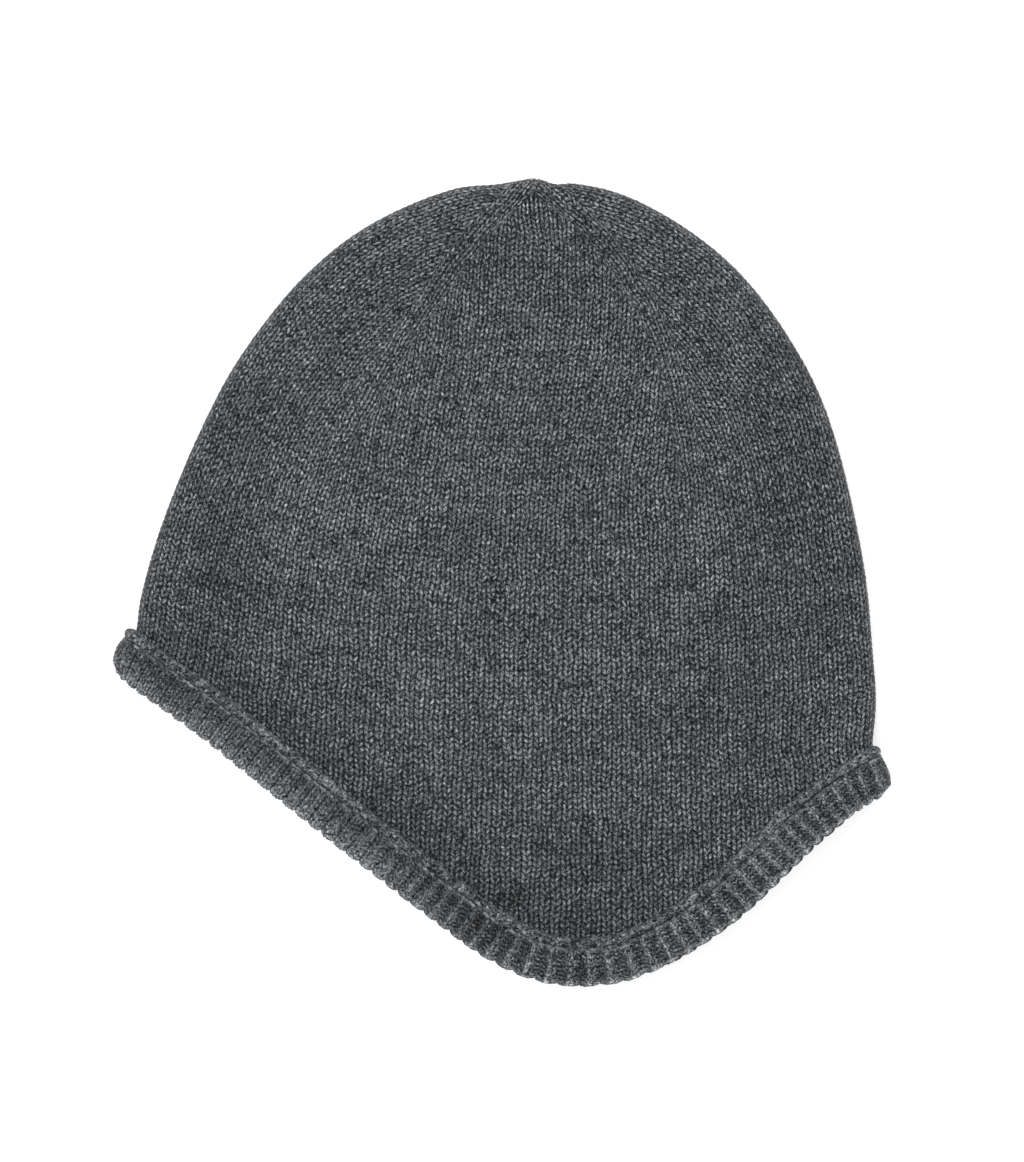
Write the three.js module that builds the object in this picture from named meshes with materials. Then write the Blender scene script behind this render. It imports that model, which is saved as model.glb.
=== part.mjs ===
// Knitted earflap beanie, lying on its side with its two layers folded flat.
// Millimetres, +Z up, the floor at z = 0 and the origin under the middle of the outline.
// +Y runs to the tip of the crown, -X to the forehead, +X to the nape.
import * as THREE from 'three';

// Sizes of the crown, a hollow plain-knit shell.
const CROWN_WIDTH = 208.5;
const CROWN_RISE = 212.7;
const WALL = 2.5;
const FOLD_RADIUS = 4.4;

// How far the upper layer arches over the lower one, in the body and at the mouth,
// and over which distance from the fold or the mouth it reaches that height.
const BODY_ARCH = 11;
const MOUTH_ARCH = 7;
const ARCH_REACH = 75;
const MOUTH_ARCH_REACH = 60;
const MOUTH_EASE = 14;

// Sizes of the rolled welt and of the folded rib band that edge the mouth.
const WELT_WIDTH = 3.3;
const WELT_THICKNESS = 5.8;
const BAND_DEPTH = 10.3;
const BAND_THICKNESS = 6.2;
const BAND_FOLD_GAP = 2;
const RIB_COUNT = 114;
const RIB_RELIEF = 0.45;
const SCALLOP = 0.7;

// The lower layer of the band shows past the upper one along the nape run.
const REAR_PEEK = 1.5;
// The band flares past the crown at the forehead fold.
const FOREHEAD_FLARE = 1.2;
// Space between a piece and the one that it is linked to.
const SEAM_GAP = 0.3;

// Facets: columns across one layer, rows from mouth to tip, stations on one rib.
const COLUMNS = 30;
const ROWS = 20;
const STATIONS_PER_RIB = 2;
const FOLD_ANGLES = [0, 32, 62, 90];
const FOLD_SHARE = 0.35;
const OUTLINE_STEPS = 160;
const CURVE_DIVISIONS = 640;
const RING_DIVISIONS = 1920;

const FELT_GREY = 0x505254;

// The forehead fold from the mouth up to the tip.
// across: share of CROWN_WIDTH from the forehead side, up: share of CROWN_RISE from the flap's low point.
const FOREHEAD_FOLD = [
  { across: 0.0013, up: 0.4016 },
  { across: 0.0067, up: 0.4465 },
  { across: 0.0404, up: 0.5575 },
  { across: 0.1119, up: 0.7160 },
  { across: 0.1631, up: 0.7952 },
  { across: 0.2318, up: 0.8745 },
  { across: 0.3154, up: 0.9379 },
  { across: 0.4299, up: 0.9855 },
  { across: 0.4906, up: 0.9921 },
  { across: 0.5175, up: 0.9967 },
  { across: 0.5377, up: 1.0 },
];

// The nape fold from the mouth up to the tip, with the small notch beside the gathered tip.
const NAPE_FOLD = [
  { across: 0.9946, up: 0.2497 },
  { across: 1.0, up: 0.3038 },
  { across: 0.9960, up: 0.3672 },
  { across: 0.9825, up: 0.4941 },
  { across: 0.9353, up: 0.6843 },
  { across: 0.8881, up: 0.7794 },
  { across: 0.8154, up: 0.8745 },
  { across: 0.7358, up: 0.9379 },
  { across: 0.6550, up: 0.9789 },
  { across: 0.5916, up: 0.9927 },
  { across: 0.5634, up: 0.9920 },
  { across: 0.5540, up: 0.9960 },
  { across: 0.5377, up: 1.0 },
];

// The joint of crown and trim on one layer: forehead end, ear flap, nape end.
const MOUTH_LINE = [
  { across: 0.0013, up: 0.4016 },
  { across: 0.1280, up: 0.3144 },
  { across: 0.2925, up: 0.1863 },
  { across: 0.4515, up: 0.0661 },
  { across: 0.5135, up: 0.0235 },
  { across: 0.5600, up: 0.0040 },
  { across: 0.6119, up: 0.0 },
  { across: 0.6590, up: 0.0092 },
  { across: 0.7561, up: 0.0647 },
  { across: 0.8841, up: 0.1800 },
  { across: 0.9407, up: 0.2206 },
  { across: 0.9946, up: 0.2497 },
];

// Half section of the welt: along its width, and half its thickness.
const WELT_SECTION = [
  { along: 0, half: 0.45 },
  { along: 0.5, half: 1 },
  { along: 1, half: 0.5 },
];

// Half section of the rib band, from the groove at the welt to the free edge.
const BAND_SECTION = [
  { along: 0, half: 0.55 },
  { along: 0.2, half: 0.92 },
  { along: 0.55, half: 1 },
  { along: 0.88, half: 0.75 },
  { along: 1, half: 0 },
];

// The stretch of the lower layer, as shares of the mouth line, where its band peeks out,
// and the share of that stretch over which it comes out and goes back.
const PEEK_FROM = 0.6;
const PEEK_TO = 0.99;
const PEEK_EASE = 0.25;

// Soft dents and swells of the upper layer, each fading over its two reaches.
// across, up: shares as above; wide, tall: reaches as shares of CROWN_WIDTH and CROWN_RISE;
// sink: share of WALL by which it lies lower, and below zero for a swell.
const DENTS = [
  { across: 0.13, up: 0.48, wide: 0.05, tall: 0.13, sink: 0.4 },
  { across: 0.23, up: 0.55, wide: 0.06, tall: 0.14, sink: -0.3 },
  { across: 0.60, up: 0.06, wide: 0.12, tall: 0.05, sink: 0.35 },
  { across: 0.88, up: 0.60, wide: 0.06, tall: 0.18, sink: 0.2 },
];

// The direction in which the band leaves the crown at each fold, in degrees from straight down,
// and the length of mouth over which it turns to that from square to the mouth.
const FOREHEAD_LEAN = -25;
const NAPE_LEAN = 20;
const LEAN_REACH = 16;

const ringFoldRadius = BAND_THICKNESS / 2 + BAND_FOLD_GAP / 2;
const mouthFoldRadius = ringFoldRadius + WALL / 2;
const mouthFoldHeight = BAND_THICKNESS / 2 + ringFoldRadius;

function smoothStep(share) {
  const t = THREE.MathUtils.clamp(share, 0, 1);
  return t * t * (3 - 2 * t);
}

function planCurve(rows) {
  const points = rows.map((row) => new THREE.Vector3(row.across * CROWN_WIDTH, row.up * CROWN_RISE, 0));
  const curve = new THREE.CatmullRomCurve3(points, false, 'centripetal');
  curve.arcLengthDivisions = CURVE_DIVISIONS;
  return curve;
}

const foreheadFold = planCurve(FOREHEAD_FOLD);
const napeFold = planCurve(NAPE_FOLD);
const mouthLine = planCurve(MOUTH_LINE);
const mouthLength = mouthLine.getLength();
const foldPoints = [
  ...foreheadFold.getSpacedPoints(OUTLINE_STEPS),
  ...napeFold.getSpacedPoints(OUTLINE_STEPS).reverse(),
];
const mouthPoints = mouthLine.getSpacedPoints(OUTLINE_STEPS);

// Distance in plan from a point to a line of points.
function distanceTo(points, point) {
  const segment = new THREE.Line3();
  const nearest = new THREE.Vector3();
  let least = Infinity;
  for (let index = 1; index < points.length; index += 1) {
    segment.set(points[index - 1], points[index]);
    segment.closestPointToPoint(point, true, nearest);
    least = Math.min(least, nearest.distanceTo(point));
  }
  return least;
}

// Rise of a round fold of unit radius at a distance from its outermost line.
function foldRise(distance) {
  const inset = 1 - THREE.MathUtils.clamp(distance, 0, 1);
  return Math.sqrt(1 - inset * inset);
}

function archShape(foldDistance) {
  const left = 1 - THREE.MathUtils.clamp(foldDistance / ARCH_REACH, 0, 1);
  return 1 - left * left;
}

// How far the dents lower the upper layer at a point of its plan.
function dentDepth(plan) {
  return DENTS.reduce((depth, dent) => {
    const sideways = (plan.x / CROWN_WIDTH - dent.across) / dent.wide;
    const upwards = (plan.y / CROWN_RISE - dent.up) / dent.tall;
    return depth + WALL * dent.sink * Math.exp(-sideways * sideways - upwards * upwards);
  }, 0);
}

// Height of the crown's outer surface over a point of its plan, on the upper or lower layer.
function crownHeight(plan, upper) {
  const foldDistance = distanceTo(foldPoints, plan);
  const mouthDistance = distanceTo(mouthPoints, plan);
  const ease = smoothStep(mouthDistance / MOUTH_EASE);
  const radius = THREE.MathUtils.lerp(mouthFoldRadius, FOLD_RADIUS, ease);
  const centre = THREE.MathUtils.lerp(mouthFoldHeight, FOLD_RADIUS, ease);
  const rise = radius * foldRise(foldDistance / radius);
  if (!upper) {
    return centre - rise;
  }
  const arch = THREE.MathUtils.lerp(MOUTH_ARCH, BODY_ARCH, smoothStep(mouthDistance / MOUTH_ARCH_REACH));
  return centre + rise + arch * archShape(foldDistance) - ease * dentDepth(plan);
}

// Shares across one layer: close together round each fold, and even between the folds.
function columnShares(width) {
  const tight = Math.min(1, (FOLD_SHARE * width) / FOLD_RADIUS);
  const foldShares = FOLD_ANGLES.map((angle) => {
    const inset = FOLD_RADIUS * (1 - Math.cos(THREE.MathUtils.degToRad(angle)));
    return (inset * tight) / width;
  });
  const start = foldShares[foldShares.length - 1];
  const spans = COLUMNS - 2 * (foldShares.length - 1);
  const shares = [...foldShares];
  for (let index = 1; index < spans; index += 1) {
    shares.push(start + ((1 - 2 * start) * index) / spans);
  }
  return [...shares, ...foldShares.map((share) => 1 - share).reverse()];
}

// A point of the plan, from the forehead fold to the nape fold and from the mouth to the tip.
function planPoint(share, rise) {
  const fore = foreheadFold.getPointAt(rise);
  const nape = napeFold.getPointAt(rise);
  const chord = mouthLine.getPointAt(0).lerp(mouthLine.getPointAt(1), share);
  const dip = mouthLine.getPointAt(share).sub(chord).multiplyScalar(1 - rise);
  return fore.lerp(nape, share).add(dip);
}

// One row of the crown's outer surface: over the upper layer and back under the lower one.
function crownRow(rise) {
  const width = foreheadFold.getPointAt(rise).distanceTo(napeFold.getPointAt(rise));
  const shares = columnShares(width);
  const loop = [];
  for (let index = 0; index < COLUMNS; index += 1) {
    const point = planPoint(shares[index], rise);
    point.z = crownHeight(point, true);
    loop.push(point);
  }
  for (let index = COLUMNS; index > 0; index -= 1) {
    const point = planPoint(shares[index], rise);
    point.z = crownHeight(point, false);
    loop.push(point);
  }
  return loop;
}

// Outward direction at a point of a net of rows that each close on themselves.
function netNormal(net, row, column) {
  const loop = net[row];
  const next = loop[(column + 1) % loop.length];
  const last = loop[(column + loop.length - 1) % loop.length];
  const above = net[Math.min(row + 1, net.length - 1)][column];
  const below = net[Math.max(row - 1, 0)][column];
  const around = next.clone().sub(last);
  const along = above.clone().sub(below);
  return along.cross(around).negate().normalize();
}

function meshOf(name, vertices, faces) {
  const geometry = new THREE.BufferGeometry();
  geometry.setAttribute('position', new THREE.Float32BufferAttribute(vertices.flatMap((v) => v.toArray()), 3));
  geometry.setIndex(faces.flat());
  geometry.computeVertexNormals();
  const material = new THREE.MeshStandardMaterial({ color: FELT_GREY, roughness: 0.95, metalness: 0 });
  const mesh = new THREE.Mesh(geometry, material);
  mesh.name = name;
  return mesh;
}

function quad(a, b, c, d) {
  return [[a, b, c], [a, c, d]];
}

// The crown: an outer net and an inner net one wall inside it, joined at the rim of the mouth.
function buildCrown() {
  const outer = [];
  for (let row = 0; row < ROWS; row += 1) {
    outer.push(crownRow((1 - Math.cos((Math.PI * row) / ROWS)) / 2));
  }
  const inner = outer.map((loop, row) =>
    loop.map((point, column) => point.clone().addScaledVector(netNormal(outer, row, column), -WALL)),
  );
  const tip = foreheadFold.getPointAt(1);
  tip.z = FOLD_RADIUS;
  const innerTip = tip.clone();
  innerTip.y -= WALL;

  const around = 2 * COLUMNS;
  const vertices = [...outer.flat(), ...inner.flat(), tip, innerTip];
  const innerStart = ROWS * around;
  const tipIndex = 2 * innerStart;
  const faces = [];
  for (let column = 0; column < around; column += 1) {
    const next = (column + 1) % around;
    for (let row = 0; row < ROWS - 1; row += 1) {
      const low = row * around;
      const high = low + around;
      faces.push(...quad(low + column, low + next, high + next, high + column));
      faces.push(...quad(
        innerStart + low + next,
        innerStart + low + column,
        innerStart + high + column,
        innerStart + high + next,
      ));
    }
    const top = (ROWS - 1) * around;
    faces.push([top + column, top + next, tipIndex]);
    faces.push([innerStart + top + next, innerStart + top + column, tipIndex + 1]);
    faces.push(...quad(next, column, innerStart + column, innerStart + next));
  }
  return meshOf('crown', vertices, faces);
}

// Middle line of the trim at a length along one layer of the mouth.
function ringPoint(length, upper) {
  const start = WALL / 2 - FOREHEAD_FLARE;
  const end = mouthLength - WALL / 2;
  const inside = THREE.MathUtils.clamp(length, 0, mouthLength);
  const share = inside / mouthLength;
  const point = mouthLine.getPointAt(share);
  point.addScaledVector(mouthLine.getTangentAt(share), length - inside);
  const toFold = Math.min(length - start, end - length);
  const rise = ringFoldRadius * foldRise(toFold / ringFoldRadius);
  const arch = MOUTH_ARCH * archShape(distanceTo(foldPoints, mouthLine.getPointAt(share)));
  point.z = upper ? mouthFoldHeight + rise + arch : mouthFoldHeight - rise;
  return point;
}

// Direction in plan in which the band leaves the crown: square to the mouth, and leaning at the folds.
function bandDirection(length) {
  const tangent = mouthLine.getTangentAt(THREE.MathUtils.clamp(length / mouthLength, 0, 1));
  const square = Math.atan2(tangent.y, tangent.x);
  const fore = 1 - smoothStep(length / LEAN_REACH);
  const nape = 1 - smoothStep((mouthLength - length) / LEAN_REACH);
  let lean = THREE.MathUtils.lerp(square, THREE.MathUtils.degToRad(FOREHEAD_LEAN), fore);
  lean = THREE.MathUtils.lerp(lean, THREE.MathUtils.degToRad(NAPE_LEAN), nape);
  return new THREE.Vector3(Math.sin(lean), -Math.cos(lean), 0);
}

// Stations at even steps round the whole mouth: point, outward direction, and surface normal.
function mouthStations(count) {
  const start = WALL / 2 - FOREHEAD_FLARE;
  const end = mouthLength - WALL / 2;
  const dense = [];
  for (let index = 0; index < RING_DIVISIONS; index += 1) {
    const angle = (2 * Math.PI * index) / RING_DIVISIONS;
    const length = start + ((end - start) * (1 - Math.cos(angle))) / 2;
    dense.push({ length, upper: angle <= Math.PI, point: ringPoint(length, angle <= Math.PI) });
  }
  const travelled = [0];
  for (let index = 1; index <= RING_DIVISIONS; index += 1) {
    const step = dense[index % RING_DIVISIONS].point.distanceTo(dense[index - 1].point);
    travelled.push(travelled[index - 1] + step);
  }
  const stations = [];
  let from = 0;
  for (let index = 0; index < count; index += 1) {
    const target = (travelled[RING_DIVISIONS] * index) / count;
    while (travelled[from + 1] < target) {
      from += 1;
    }
    const blend = (target - travelled[from]) / (travelled[from + 1] - travelled[from]);
    const near = dense[from];
    const far = dense[(from + 1) % RING_DIVISIONS];
    const point = near.point.clone().lerp(far.point, blend);
    const length = THREE.MathUtils.lerp(near.length, far.length, blend);
    stations.push({ point, length, upper: near.upper, out: bandDirection(length) });
  }
  stations.forEach((station, index) => {
    const next = stations[(index + 1) % count].point;
    const last = stations[(index + count - 1) % count].point;
    station.normal = station.out.clone().cross(next.clone().sub(last)).normalize();
  });
  return stations;
}

// How far the lower layer of the band reaches past the upper one at a station.
function peek(station) {
  const share = (station.length / mouthLength - PEEK_FROM) / (PEEK_TO - PEEK_FROM);
  if (station.upper) {
    return 0;
  }
  return REAR_PEEK * smoothStep(share / PEEK_EASE) * smoothStep((1 - share) / PEEK_EASE);
}

// A closed ring: at each station a section of points, each along the outward direction and the normal.
function ringMesh(name, stations, sectionAt) {
  const sections = stations.map((station, index) =>
    sectionAt(station, index).map(({ along, lift }) =>
      station.point.clone().addScaledVector(station.out, along).addScaledVector(station.normal, lift),
    ),
  );
  const size = sections[0].length;
  const faces = [];
  for (let index = 0; index < sections.length; index += 1) {
    const here = index * size;
    const ahead = ((index + 1) % sections.length) * size;
    for (let place = 0; place < size; place += 1) {
      const next = (place + 1) % size;
      faces.push(...quad(here + place, here + next, ahead + next, ahead + place));
    }
  }
  return meshOf(name, sections.flat(), faces);
}

// The outer half of a section followed by its mirror image on the inner side.
function wholeSection(rows, start, depth, half) {
  const outer = rows.map((row) => ({ along: start + row.along * depth, lift: row.half * half }));
  const inner = outer.filter((place) => place.lift > 0).map(({ along, lift }) => ({ along, lift: -lift }));
  return [...outer, ...inner.reverse()];
}

function buildWelt(stations) {
  return ringMesh('linking_welt', stations, () =>
    wholeSection(WELT_SECTION, SEAM_GAP, WELT_WIDTH, WELT_THICKNESS / 2),
  );
}

function buildBand(stations) {
  const start = SEAM_GAP + WELT_WIDTH + SEAM_GAP;
  return ringMesh('rib_trim', stations, (station, index) => {
    const crest = (1 + Math.cos((2 * Math.PI * index) / STATIONS_PER_RIB)) / 2;
    const depth = BAND_DEPTH + peek(station) - SCALLOP * (1 - crest);
    const half = BAND_THICKNESS / 2 - RIB_RELIEF * (1 - crest);
    return wholeSection(BAND_SECTION, start, depth, half);
  });
}

const beanie = new THREE.Group();
const stations = mouthStations(RIB_COUNT * STATIONS_PER_RIB);
beanie.add(buildCrown(), buildWelt(stations), buildBand(stations));

// The origin lies on the floor under the middle of the whole outline.
const bounds = new THREE.Box3().setFromObject(beanie, true);
const middle = bounds.getCenter(new THREE.Vector3());
beanie.position.set(-middle.x, -middle.y, -bounds.min.z);
beanie.updateMatrixWorld(true);

export default beanie;
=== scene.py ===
import math

import bpy
import numpy as np
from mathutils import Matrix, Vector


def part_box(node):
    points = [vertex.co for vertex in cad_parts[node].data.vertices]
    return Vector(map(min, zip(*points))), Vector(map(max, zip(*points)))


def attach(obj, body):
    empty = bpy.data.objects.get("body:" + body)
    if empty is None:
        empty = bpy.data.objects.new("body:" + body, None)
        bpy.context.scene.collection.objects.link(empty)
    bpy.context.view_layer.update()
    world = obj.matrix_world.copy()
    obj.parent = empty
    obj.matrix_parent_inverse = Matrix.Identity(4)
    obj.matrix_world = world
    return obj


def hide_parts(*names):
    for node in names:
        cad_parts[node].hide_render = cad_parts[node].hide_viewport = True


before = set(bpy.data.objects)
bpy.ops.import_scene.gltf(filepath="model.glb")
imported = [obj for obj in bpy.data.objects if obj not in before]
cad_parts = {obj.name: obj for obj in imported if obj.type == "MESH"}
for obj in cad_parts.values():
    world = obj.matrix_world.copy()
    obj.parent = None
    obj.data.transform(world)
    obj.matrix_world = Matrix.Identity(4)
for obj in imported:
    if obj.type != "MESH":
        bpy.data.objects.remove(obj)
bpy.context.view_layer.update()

MM = 0.001


# The studio: a plain pale table, a large soft light from the upper left, a weak one from the right,
# and a camera straight above the hat that lies on the table.
VIEW_HEIGHT = 326.5 * MM
VIEW_MIDDLE = (3.1 * MM, -0.3 * MM, 10 * MM)
LENS = 150
SENSOR = 36
TABLE_SIZE = 3
TABLE_DROP = 0.4 * MM
TABLE_GLOW = 0.3
TABLE_WHITE = (0.88, 0.88, 0.88, 1)
AIR_LIGHT = 1.05

bpy.ops.object.select_all(action="DESELECT")
bpy.ops.mesh.primitive_plane_add(size=TABLE_SIZE, location=(0, 0, -TABLE_DROP))
table = bpy.context.object
table.name = "studio_table"
table.data.materials.append(bpy.data.materials.new("table_white"))
table.data.materials[0].use_nodes = True
table_paint = table.data.materials[0].node_tree.nodes["Principled BSDF"]
table_paint.inputs["Base Color"].default_value = TABLE_WHITE
table_paint.inputs["Roughness"].default_value = 0.9
table_paint.inputs["Emission Color"].default_value = (1, 1, 1, 1)
table_paint.inputs["Emission Strength"].default_value = TABLE_GLOW

for name, place, size, watts in (
    ("key_light", (-0.75, 0.6, 1.25), 1.2, 17),
    ("fill_light", (0.9, -0.5, 1.2), 1.6, 4),
):
    lamp_data = bpy.data.lights.new(name, "AREA")
    lamp_data.size = size
    lamp_data.energy = watts
    lamp = bpy.data.objects.new(name, lamp_data)
    lamp.location = place
    away = -np.array(place)
    lamp.rotation_euler = (
        math.acos(-away[2] / np.linalg.norm(away)),
        0,
        math.atan2(-away[0], away[1]),
    )
    bpy.context.scene.collection.objects.link(lamp)

world = bpy.data.worlds.new("studio_air")
world.use_nodes = True
world.node_tree.nodes["Background"].inputs["Color"].default_value = (1, 1, 1, 1)
world.node_tree.nodes["Background"].inputs["Strength"].default_value = AIR_LIGHT
bpy.context.scene.world = world
bpy.context.scene.view_settings.view_transform = "Standard"

camera_data = bpy.data.cameras.new("camera")
camera_data.lens = LENS
camera_data.sensor_fit = "VERTICAL"
camera_data.sensor_height = SENSOR
camera = bpy.data.objects.new("camera", camera_data)
camera.location = (
    VIEW_MIDDLE[0],
    VIEW_MIDDLE[1],
    VIEW_MIDDLE[2] + VIEW_HEIGHT * LENS / SENSOR,
)
bpy.context.scene.collection.objects.link(camera)
bpy.context.scene.camera = camera


# The crown: one fully fashioned piece of plain knit in a grey wool mix. It is knitted from the mouth up,
# and four lines of decreases, two on each layer, draw it together at the tip. Here it is four panels that
# meet in those lines, each knitted of V-shaped stitches in wales and courses.
CROWN_WIDTH = 208.5 * MM
CROWN_RISE = 212.7 * MM
WALL = 2.1 * MM
FOLD_RADIUS = 4.4 * MM
BODY_ARCH = 11 * MM
MOUTH_ARCH = 7 * MM
ARCH_REACH = 75 * MM
MOUTH_ARCH_REACH = 60 * MM
MOUTH_EASE = 14 * MM
BAND_THICKNESS = 6.2 * MM
BAND_FOLD_GAP = 2 * MM
DENT_SCALE = 2.5 * MM

FOREHEAD_WALES = 19
MIDDLE_WALES = 41
NAPE_WALES = 20
SHAPED_COURSES = 58
SHAPING_START = 0.573
STEPS_PER_WALE = 4
STEPS_PER_COURSE = 3
LEG_SLANT = 0.95
LEG_HEIGHT = 0.52 * MM
LEG_SINK = 0.25 * MM
CALM_REACH = 3.5 * MM
GAP_DEPTHS = (0.18, 0.08)
MOUTH_TUCK = 0.45
INSIDE_SHARE = 0.6
GORE_BORDER = 2
MIDDLE_BORDER = 1
FOREHEAD_LIFT = (23.6 * MM, 26.7 * MM)
NAPE_LIFT = (11.2 * MM, 21.1 * MM)
LIFT_COURSES = 20
LIFT_POWERS = (2.15, 2.5)
BLEND_COURSES = 12

# The plan of the crown in shares of its width and rise, from the mouth up.
FOREHEAD_FOLD = (
    dict(across=0.0013, up=0.4016),
    dict(across=0.0067, up=0.4465),
    dict(across=0.0404, up=0.5575),
    dict(across=0.1119, up=0.7160),
    dict(across=0.1631, up=0.7952),
    dict(across=0.2318, up=0.8745),
    dict(across=0.3154, up=0.9379),
    dict(across=0.4299, up=0.9855),
    dict(across=0.4906, up=0.9921),
    dict(across=0.5175, up=0.9967),
    dict(across=0.5377, up=1.0),
)
NAPE_FOLD = (
    dict(across=0.9946, up=0.2497),
    dict(across=1.0, up=0.3038),
    dict(across=0.9960, up=0.3672),
    dict(across=0.9825, up=0.4941),
    dict(across=0.9353, up=0.6843),
    dict(across=0.8881, up=0.7794),
    dict(across=0.8154, up=0.8745),
    dict(across=0.7358, up=0.9379),
    dict(across=0.6550, up=0.9789),
    dict(across=0.5916, up=0.9927),
    dict(across=0.5634, up=0.9920),
    dict(across=0.5540, up=0.9960),
    dict(across=0.5377, up=1.0),
)
MOUTH_LINE = (
    dict(across=0.0013, up=0.4016),
    dict(across=0.1280, up=0.3144),
    dict(across=0.2925, up=0.1863),
    dict(across=0.4515, up=0.0661),
    dict(across=0.5135, up=0.0235),
    dict(across=0.5600, up=0.0040),
    dict(across=0.6119, up=0.0),
    dict(across=0.6590, up=0.0092),
    dict(across=0.7561, up=0.0647),
    dict(across=0.8841, up=0.1800),
    dict(across=0.9407, up=0.2206),
    dict(across=0.9946, up=0.2497),
)
# Where the outermost wales would run on below the mouth, and the two lines of decreases on a layer.
FOREHEAD_BELOW = (
    dict(across=-0.0246, up=-0.0183),
    dict(across=-0.0219, up=0.1423),
    dict(across=-0.0192, up=0.2375),
    dict(across=-0.0151, up=0.3326),
)
NAPE_BELOW = (
    dict(across=1.0105, up=-0.0183),
    dict(across=1.0078, up=0.1423),
    dict(across=1.0000, up=0.2200),
)
FOREHEAD_SHAPING = (
    dict(across=0.1951, up=-0.0183),
    dict(across=0.2113, up=0.1423),
    dict(across=0.2207, up=0.3326),
    dict(across=0.2275, up=0.4277),
    dict(across=0.2558, up=0.5730),
    dict(across=0.2881, up=0.6523),
    dict(across=0.3393, up=0.7382),
    dict(across=0.3690, up=0.7844),
    dict(across=0.4390, up=0.8874),
    dict(across=0.4903, up=0.9456),
    dict(across=0.5226, up=0.9786),
    dict(across=0.5377, up=1.0),
)
NAPE_SHAPING = (
    dict(across=0.7665, up=-0.0183),
    dict(across=0.7612, up=0.2375),
    dict(across=0.7571, up=0.4277),
    dict(across=0.7477, up=0.5730),
    dict(across=0.7315, up=0.6787),
    dict(across=0.7072, up=0.7712),
    dict(across=0.6722, up=0.8465),
    dict(across=0.6142, up=0.9231),
    dict(across=0.5806, up=0.9522),
    dict(across=0.5523, up=0.9799),
    dict(across=0.5377, up=1.0),
)
DENTS = (
    dict(across=0.13, up=0.48, wide=0.05, tall=0.13, sink=0.4),
    dict(across=0.23, up=0.55, wide=0.06, tall=0.14, sink=-0.15),
    dict(across=0.60, up=0.06, wide=0.12, tall=0.05, sink=0.35),
    dict(across=0.88, up=0.60, wide=0.06, tall=0.18, sink=0.2),
)

# Where the gathered wales stand apart just below the tip, with painted shade between them, and the painted shade
# beside the welt (less on the nape run) and in the hollows.
GATHER = (dict(across=0.5265, up=0.9660, wide=0.0200, tall=0.0170),)
GATHER_SHADE = (1.2, 0.8)
SOFT_SHADES = (
    dict(across=0.47, up=0.875, wide=0.18, tall=0.05, sink=0.09),
    dict(across=0.09, up=0.48, wide=0.045, tall=0.12, sink=0.08),
    dict(across=0.17, up=0.70, wide=0.05, tall=0.09, sink=0.11),
    dict(across=0.86, up=0.30, wide=0.07, tall=0.16, sink=0.07),
    dict(across=0.55, up=0.13, wide=0.22, tall=0.07, sink=0.06),
)
WELT_SHADE = 0.2
WELT_SHADE_REACH = 16 * MM
HOLLOW_SHADE = 0.3
TIP_REACH = 9 * MM
NAPE_FADE = 0.85
NAPE_FADE_START = 0.6
NAPE_FADE_REACH = 0.2

# A leg's height over its stitch: the gap's curve, its three rows, and the even heights at seams and mouth.
RIDGE_POWER = 0.8
HUMPS = (0.22, 1.0, 0.86)
UNEVEN = 0.4
SEAM_HEIGHT = 0.5
MOUTH_HEIGHT = 0.7
MEAN_HEIGHT = 0.55
EDGE_RELIEF = 0.4
LOWEST_COURSE = -110.0
HALVINGS = 30
CHART_START = (60, 200)
CHART_STEP = 97
MERGE_REACH = 0.004 * MM
SLIVER_REACH = 0.002 * MM
HALF_WALL = 1.25 * MM

crown_low, crown_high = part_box("crown")
PLAN_X = crown_high.x - CROWN_WIDTH
PLAN_Y = crown_low.y
MOUTH_CENTRE = BAND_THICKNESS + BAND_FOLD_GAP / 2
RING_RADIUS = BAND_THICKNESS / 2 + BAND_FOLD_GAP / 2
MOUTH_RADIUS = RING_RADIUS + HALF_WALL


def smooth_step(share):
    t = np.clip(share, 0, 1)
    return t * t * (3 - 2 * t)


def plan_line(rows, steps=12):
    """A smooth line through a table's places, as points on the table top."""
    spots = np.array([
        (PLAN_X + row["across"] * CROWN_WIDTH, PLAN_Y + row["up"] * CROWN_RISE) for row in rows
    ])
    ends = np.vstack([2 * spots[0] - spots[1], spots, 2 * spots[-1] - spots[-2]])
    gaps = np.sqrt(np.linalg.norm(np.diff(ends, axis=0), axis=1))
    t = np.linspace(0, 1, steps, endpoint=False)[:, None]
    spans = []
    for index in range(len(spots) - 1):
        before, start, end, after = ends[index:index + 4]
        gap_in, gap, gap_out = gaps[index:index + 3]
        leave = ((start - before) / gap_in - (end - before) / (gap_in + gap)) * gap + (end - start)
        arrive = ((after - end) / gap_out - (after - start) / (gap + gap_out)) * gap + (end - start)
        spans.append(
            (2 * t**3 - 3 * t**2 + 1) * start + (t**3 - 2 * t**2 + t) * leave
            + (3 * t**2 - 2 * t**3) * end + (t**3 - t**2) * arrive
        )
    return np.vstack(spans + [spots[-1:]])


def along(line, share):
    """Points at shares of a line's length."""
    run = np.concatenate([[0], np.cumsum(np.linalg.norm(np.diff(line, axis=0), axis=1))])
    target = np.clip(share, 0, 1) * run[-1]
    return np.stack([np.interp(target, run, line[:, axis]) for axis in (0, 1)], axis=-1)


def distance_to(line, x, y):
    """Distance in plan from places to a line."""
    least = np.full(np.shape(x), np.inf)
    for start, end in zip(line[:-1], line[1:]):
        step = end - start
        share = ((x - start[0]) * step[0] + (y - start[1]) * step[1]) / (step @ step)
        share = np.clip(share, 0, 1)
        gap = (x - start[0] - share * step[0]) ** 2 + (y - start[1] - share * step[1]) ** 2
        least = np.minimum(least, gap)
    return np.sqrt(least)


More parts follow.
